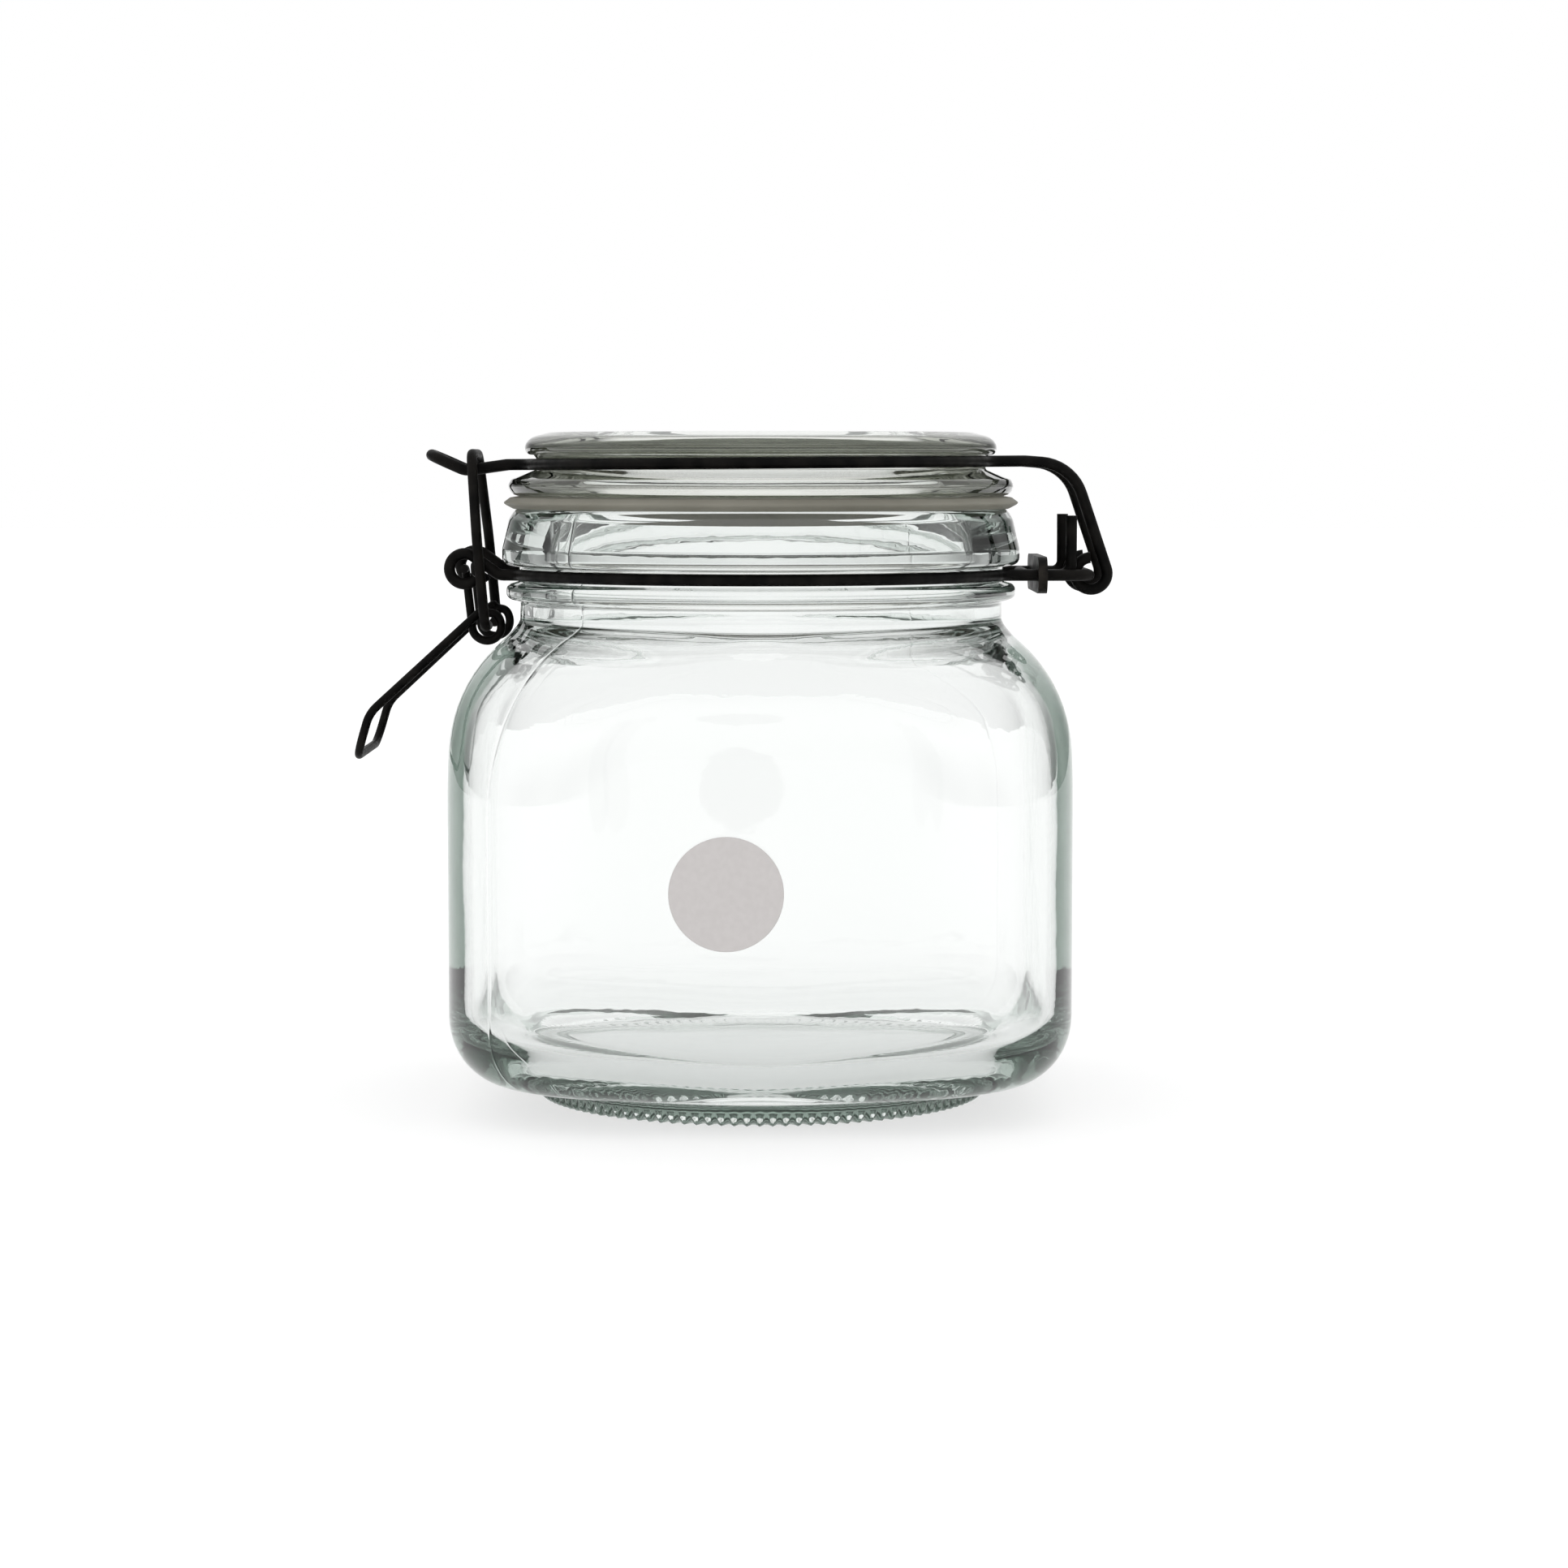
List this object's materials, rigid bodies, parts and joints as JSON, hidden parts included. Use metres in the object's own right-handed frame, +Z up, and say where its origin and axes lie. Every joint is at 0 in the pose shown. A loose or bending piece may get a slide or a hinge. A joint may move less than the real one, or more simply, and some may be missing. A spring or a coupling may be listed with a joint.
{
  "type": "bail clamp jar",
  "caption": "Clear glass storage and canning jar with a rounded-square body, a hinged glass lid, a sealing ring and a wire bail clamp with a lever latch.",
  "frame": {"origin": "on the jar's axis, on the surface that the foot ring stands on", "axes": "+Z up along the jar's axis, +X towards the hinge, -X towards the latch, -Y the front with the label"},
  "size_m": [0.1332, 0.1083, 0.1182],
  "materials": {
    "clear_glass": "clear pressed glass with a faint green-grey tint where it is thick",
    "lid_glass": "clear pressed glass, slightly wavy",
    "seal_rubber": "matt grey-beige rubber",
    "black_wire": "satin black coated steel wire",
    "clip_metal": "satin dark grey-brown coated steel",
    "label_paper": "plain grey-pink paper sticker, blank"
  },
  "bodies": {
    "jar": {"glass_jar": "clear_glass", "neck_ring_wire": "black_wire", "guide_wire": "black_wire", "hinge_clip": "clip_metal", "label": "label_paper"},
    "lid": {"glass_lid": "lid_glass", "gasket": "seal_rubber", "lid_ring_wire": "black_wire"},
    "lever": {"latch_lever": "black_wire"},
    "link": {"draw_link": "black_wire"}
  },
  "joints": [
    {"name": "lid_hinge", "type": "hinge", "parent": "jar", "child": "lid", "pos_m": [0.0576, 0, 0.0932], "axis": [0, 1, 0], "range_deg": [0, 195]},
    {"name": "lever_pivot", "type": "hinge", "parent": "jar", "child": "lever", "pos_m": [-0.0519, 0, 0.0943], "axis": [0, 1, 0], "range_deg": [0, 120]},
    {"name": "link_pivot", "type": "hinge", "parent": "lever", "child": "link", "pos_m": [-0.0482, 0, 0.0842], "axis": [0, 1, 0], "range_deg": [-90, 0]}
  ],
  "couplings": [
    {"joint": "link_pivot", "follows": "lever_pivot", "ratio": -0.75}
  ]
}
